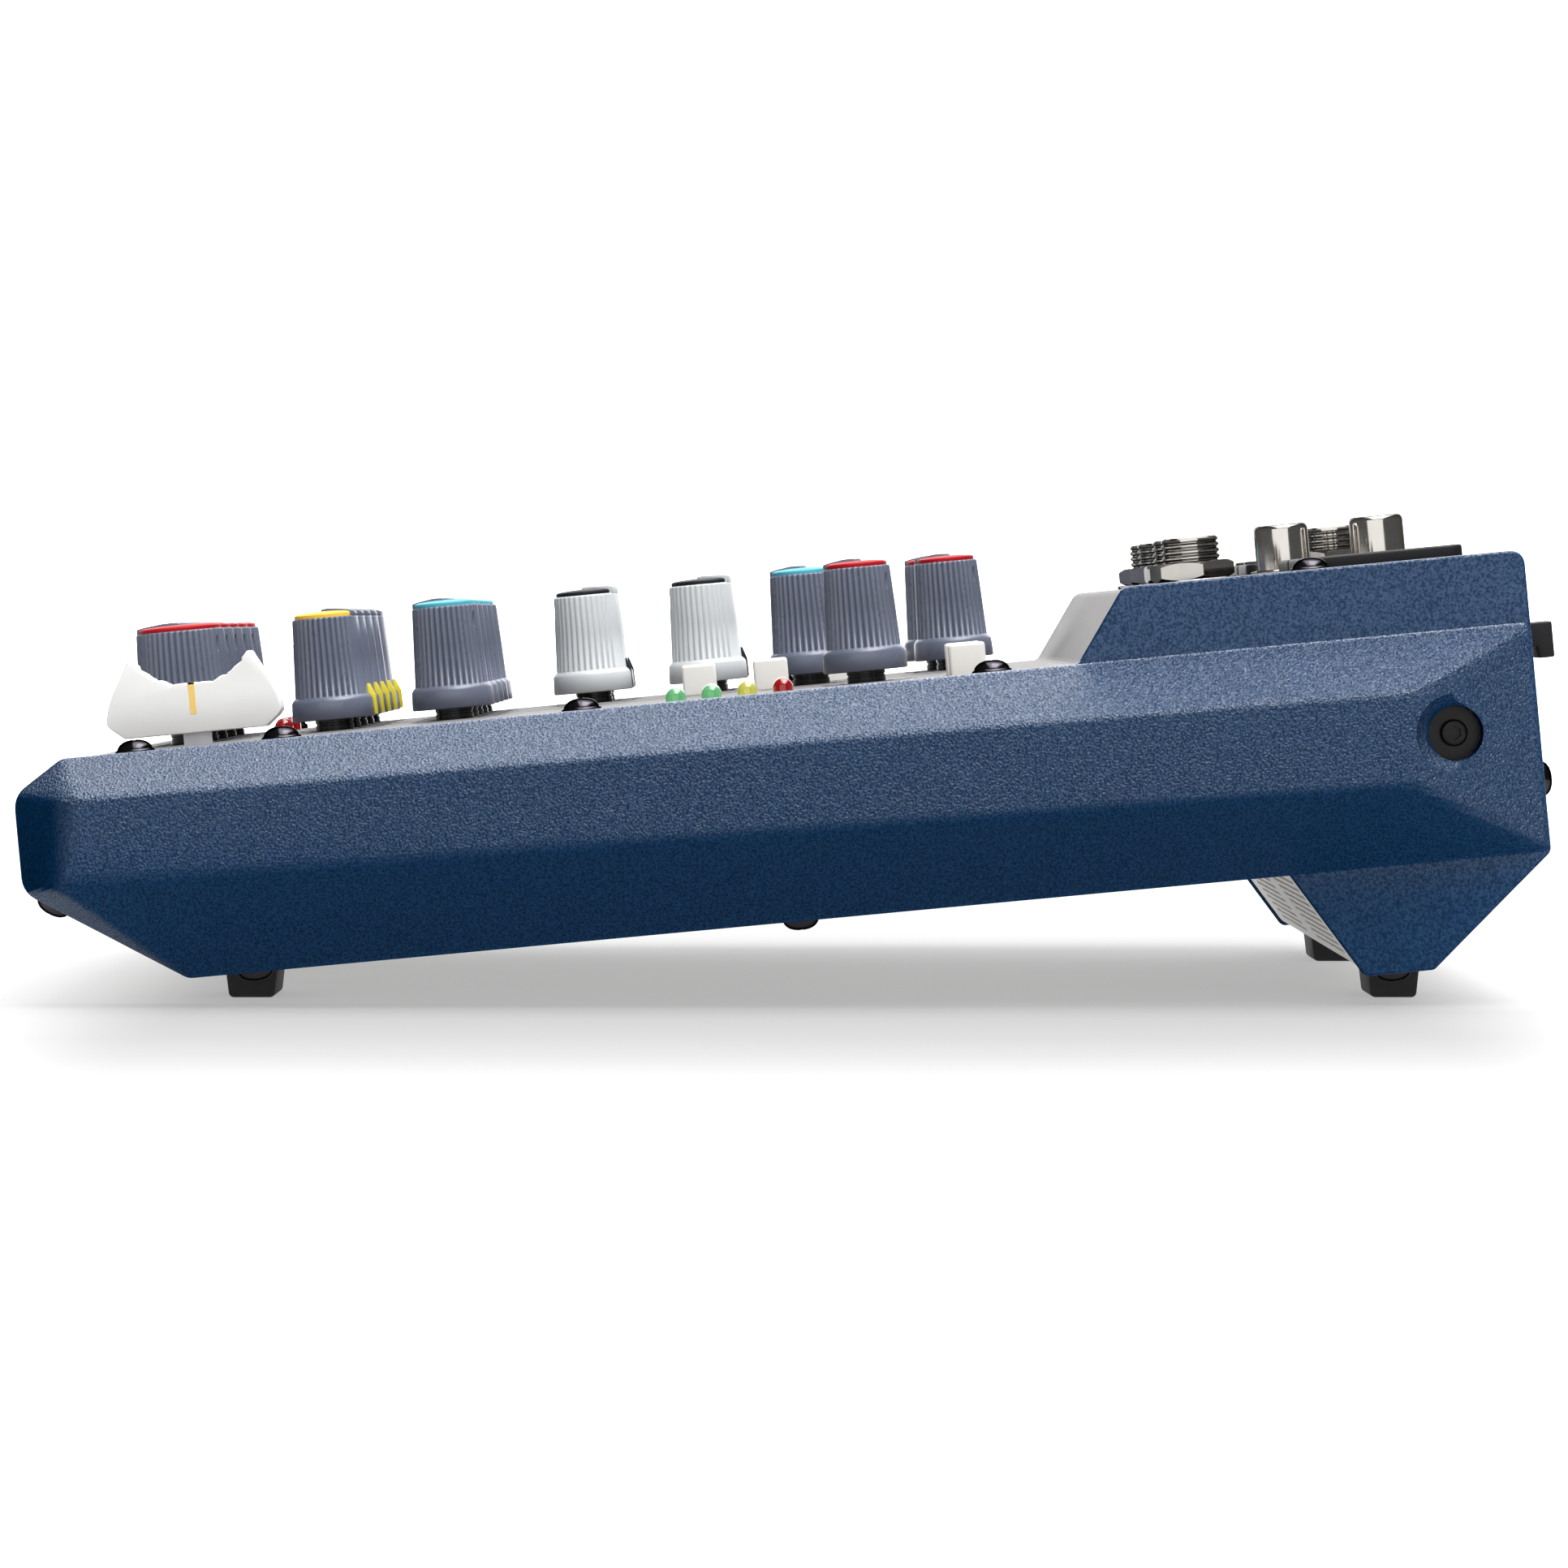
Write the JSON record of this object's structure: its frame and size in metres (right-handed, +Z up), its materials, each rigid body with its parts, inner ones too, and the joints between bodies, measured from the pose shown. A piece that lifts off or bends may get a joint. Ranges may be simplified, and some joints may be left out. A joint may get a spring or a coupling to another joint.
{
  "type": "mixing console",
  "caption": "Compact sloping desk mixing console with fluted rotary knobs, push buttons, a slide fader and a raised rear connector field between faceted plastic cheeks.",
  "frame": {"origin": "floor plane, centre of the footprint", "axes": "+Z up, +Y towards the rear connectors, +X to the user's right"},
  "size_m": [0.2372, 0.2413, 0.0777],
  "materials": {
    "cheek_plastic": "fine moulded grain",
    "panel_paint": "satin silver",
    "pan_paint": "satin silver",
    "foot_rubber": "matt",
    "nickel": "bright nickel plating",
    "board_laminate": "satin",
    "zinc_steel": "plated",
    "lamp_plastic": "clear tinted domes",
    "black_plastic": "satin",
    "black_steel": "black oxide",
    "grey_knob": "satin",
    "pale_knob": "satin",
    "button_plastic": "satin",
    "fader_plastic": "satin"
  },
  "bodies": {
    "console": {"top_panel": "panel_paint", "base_pan": "pan_paint", "rear_panel": "panel_paint", "left_cheek": "cheek_plastic", "right_cheek": "cheek_plastic", "left_cheek_screw": "black_steel", "right_cheek_screw": "black_steel", "foot_front_left": "foot_rubber", "foot_front_right": "foot_rubber", "foot_rear_left": "foot_rubber", "foot_rear_right": "foot_rubber", "main_board": "board_laminate", "jack_board": "board_laminate", "fader_track": "zinc_steel", "jack_phones": "nickel", "jack_send": "nickel", "jack_front_4": "nickel", "jack_front_3": "nickel", "jack_rear_4": "nickel", "jack_rear_3": "nickel", "output_right": "black_plastic", "output_left": "black_plastic", "input_1": "black_plastic", "input_2": "black_plastic", "phono_pair": "nickel", "meter_lamps": "lamp_plastic", "dc_inlet": "black_plastic", "usb_socket": "zinc_steel", "cable_hook": "black_plastic"},
    "level_knob_1": {"level_knob_1": "grey_knob"},
    "pan_knob_1": {"pan_knob_1": "grey_knob"},
    "effect_send_knob_1": {"effect_send_knob_1": "grey_knob"},
    "level_knob_2": {"level_knob_2": "grey_knob"},
    "pan_knob_2": {"pan_knob_2": "grey_knob"},
    "effect_send_knob_2": {"effect_send_knob_2": "grey_knob"},
    "level_knob_3": {"level_knob_3": "grey_knob"},
    "pan_knob_3": {"pan_knob_3": "grey_knob"},
    "effect_send_knob_3": {"effect_send_knob_3": "grey_knob"},
    "level_knob_4": {"level_knob_4": "grey_knob"},
    "pan_knob_4": {"pan_knob_4": "grey_knob"},
    "effect_send_knob_4": {"effect_send_knob_4": "grey_knob"},
    "level_knob_5": {"level_knob_5": "grey_knob"},
    "pan_knob_5": {"pan_knob_5": "grey_knob"},
    "effect_send_knob_5": {"effect_send_knob_5": "grey_knob"},
    "low_knob_1": {"low_knob_1": "pale_knob"},
    "high_knob_1": {"high_knob_1": "pale_knob"},
    "gain_knob_1": {"gain_knob_1": "grey_knob"},
    "low_knob_2": {"low_knob_2": "pale_knob"},
    "high_knob_2": {"high_knob_2": "pale_knob"},
    "gain_knob_2": {"gain_knob_2": "grey_knob"},
    "effect_return_knob": {"effect_return_knob": "grey_knob"},
    "phones_knob": {"phones_knob": "grey_knob"},
    "filter_button": {"filter_button": "button_plastic"},
    "effect_button": {"effect_button": "button_plastic"},
    "monitor_button": {"monitor_button": "button_plastic"},
    "phantom_button": {"phantom_button": "button_plastic"},
    "low_cut_button_2": {"low_cut_button_2": "button_plastic"},
    "low_cut_button_1": {"low_cut_button_1": "button_plastic"},
    "fader": {"fader_lever": "zinc_steel", "fader_cap": "fader_plastic"}
  },
  "joints": [
    {"name": "level_knob_1_turn", "type": "hinge", "parent": "console", "child": "level_knob_1", "pos_m": [-0.094, -0.10077, 0.0391], "axis": [0, 0.0929, -0.9957], "range_deg": [0, 300]},
    {"name": "pan_knob_1_turn", "type": "hinge", "parent": "console", "child": "pan_knob_1", "pos_m": [-0.094, -0.07637, 0.04138], "axis": [0, 0.0929, -0.9957], "range_deg": [-150, 150]},
    {"name": "effect_send_knob_1_turn", "type": "hinge", "parent": "console", "child": "effect_send_knob_1", "pos_m": [-0.094, -0.05616, 0.04326], "axis": [0, 0.0929, -0.9957], "range_deg": [0, 300]},
    {"name": "level_knob_2_turn", "type": "hinge", "parent": "console", "child": "level_knob_2", "pos_m": [-0.0705, -0.10077, 0.0391], "axis": [0, 0.0929, -0.9957], "range_deg": [0, 300]},
    {"name": "pan_knob_2_turn", "type": "hinge", "parent": "console", "child": "pan_knob_2", "pos_m": [-0.0705, -0.07637, 0.04138], "axis": [0, 0.0929, -0.9957], "range_deg": [-150, 150]},
    {"name": "effect_send_knob_2_turn", "type": "hinge", "parent": "console", "child": "effect_send_knob_2", "pos_m": [-0.0705, -0.05616, 0.04326], "axis": [0, 0.0929, -0.9957], "range_deg": [0, 300]},
    {"name": "level_knob_3_turn", "type": "hinge", "parent": "console", "child": "level_knob_3", "pos_m": [-0.047, -0.10077, 0.0391], "axis": [0, 0.0929, -0.9957], "range_deg": [0, 300]},
    {"name": "pan_knob_3_turn", "type": "hinge", "parent": "console", "child": "pan_knob_3", "pos_m": [-0.047, -0.07637, 0.04138], "axis": [0, 0.0929, -0.9957], "range_deg": [-150, 150]},
    {"name": "effect_send_knob_3_turn", "type": "hinge", "parent": "console", "child": "effect_send_knob_3", "pos_m": [-0.047, -0.05616, 0.04326], "axis": [0, 0.0929, -0.9957], "range_deg": [0, 300]},
    {"name": "level_knob_4_turn", "type": "hinge", "parent": "console", "child": "level_knob_4", "pos_m": [-0.0235, -0.10077, 0.0391], "axis": [0, 0.0929, -0.9957], "range_deg": [0, 300]},
    {"name": "pan_knob_4_turn", "type": "hinge", "parent": "console", "child": "pan_knob_4", "pos_m": [-0.0235, -0.07637, 0.04138], "axis": [0, 0.0929, -0.9957], "range_deg": [-150, 150]},
    {"name": "effect_send_knob_4_turn", "type": "hinge", "parent": "console", "child": "effect_send_knob_4", "pos_m": [-0.0235, -0.05616, 0.04326], "axis": [0, 0.0929, -0.9957], "range_deg": [0, 300]},
    {"name": "level_knob_5_turn", "type": "hinge", "parent": "console", "child": "level_knob_5", "pos_m": [0, -0.10077, 0.0391], "axis": [0, 0.0929, -0.9957], "range_deg": [0, 300]},
    {"name": "pan_knob_5_turn", "type": "hinge", "parent": "console", "child": "pan_knob_5", "pos_m": [0, -0.07637, 0.04138], "axis": [0, 0.0929, -0.9957], "range_deg": [-150, 150]},
    {"name": "effect_send_knob_5_turn", "type": "hinge", "parent": "console", "child": "effect_send_knob_5", "pos_m": [0, -0.05616, 0.04326], "axis": [0, 0.0929, -0.9957], "range_deg": [0, 300]},
    {"name": "low_knob_1_turn", "type": "hinge", "parent": "console", "child": "low_knob_1", "pos_m": [-0.094, -0.03416, 0.04532], "axis": [0, 0.0929, -0.9957], "range_deg": [-150, 150]},
    {"name": "high_knob_1_turn", "type": "hinge", "parent": "console", "child": "high_knob_1", "pos_m": [-0.094, -0.01375, 0.04722], "axis": [0, 0.0929, -0.9957], "range_deg": [-150, 150]},
    {"name": "gain_knob_1_turn", "type": "hinge", "parent": "console", "child": "gain_knob_1", "pos_m": [-0.094, 0.02827, 0.05114], "axis": [0, 0.0929, -0.9957], "range_deg": [0, 300]},
    {"name": "low_knob_2_turn", "type": "hinge", "parent": "console", "child": "low_knob_2", "pos_m": [-0.0705, -0.03416, 0.04532], "axis": [0, 0.0929, -0.9957], "range_deg": [-150, 150]},
    {"name": "high_knob_2_turn", "type": "hinge", "parent": "console", "child": "high_knob_2", "pos_m": [-0.0705, -0.01375, 0.04722], "axis": [0, 0.0929, -0.9957], "range_deg": [-150, 150]},
    {"name": "gain_knob_2_turn", "type": "hinge", "parent": "console", "child": "gain_knob_2", "pos_m": [-0.0705, 0.02967, 0.05127], "axis": [0, 0.0929, -0.9957], "range_deg": [0, 300]},
    {"name": "effect_return_knob_turn", "type": "hinge", "parent": "console", "child": "effect_return_knob", "pos_m": [-0.032, 0.00408, 0.04888], "axis": [0, 0.0929, -0.9957], "range_deg": [0, 300]},
    {"name": "phones_knob_turn", "type": "hinge", "parent": "console", "child": "phones_knob", "pos_m": [0.026, 0.01294, 0.04971], "axis": [0, 0.0929, -0.9957], "range_deg": [0, 300]},
    {"name": "filter_button_press", "type": "slide", "parent": "console", "child": "filter_button", "axis": [0, 0.0929, -0.9957], "range_m": [0, 0.002], "stiffness_N_per_m": 300},
    {"name": "effect_button_press", "type": "slide", "parent": "console", "child": "effect_button", "axis": [0, 0.0929, -0.9957], "range_m": [0, 0.002], "stiffness_N_per_m": 300},
    {"name": "monitor_button_press", "type": "slide", "parent": "console", "child": "monitor_button", "axis": [0, 0.0929, -0.9957], "range_m": [0, 0.002], "stiffness_N_per_m": 300},
    {"name": "phantom_button_press", "type": "slide", "parent": "console", "child": "phantom_button", "axis": [0, 0.0929, -0.9957], "range_m": [0, 0.002], "stiffness_N_per_m": 300},
    {"name": "low_cut_button_2_press", "type": "slide", "parent": "console", "child": "low_cut_button_2", "axis": [0, 0.0929, -0.9957], "range_m": [0, 0.002], "stiffness_N_per_m": 300},
    {"name": "low_cut_button_1_press", "type": "slide", "parent": "console", "child": "low_cut_button_1", "axis": [0, 0.0929, -0.9957], "range_m": [0, 0.002], "stiffness_N_per_m": 300},
    {"name": "fader_slide", "type": "slide", "parent": "console", "child": "fader", "axis": [0, 0.9957, 0.0929], "range_m": [0, 0.06]}
  ]
}
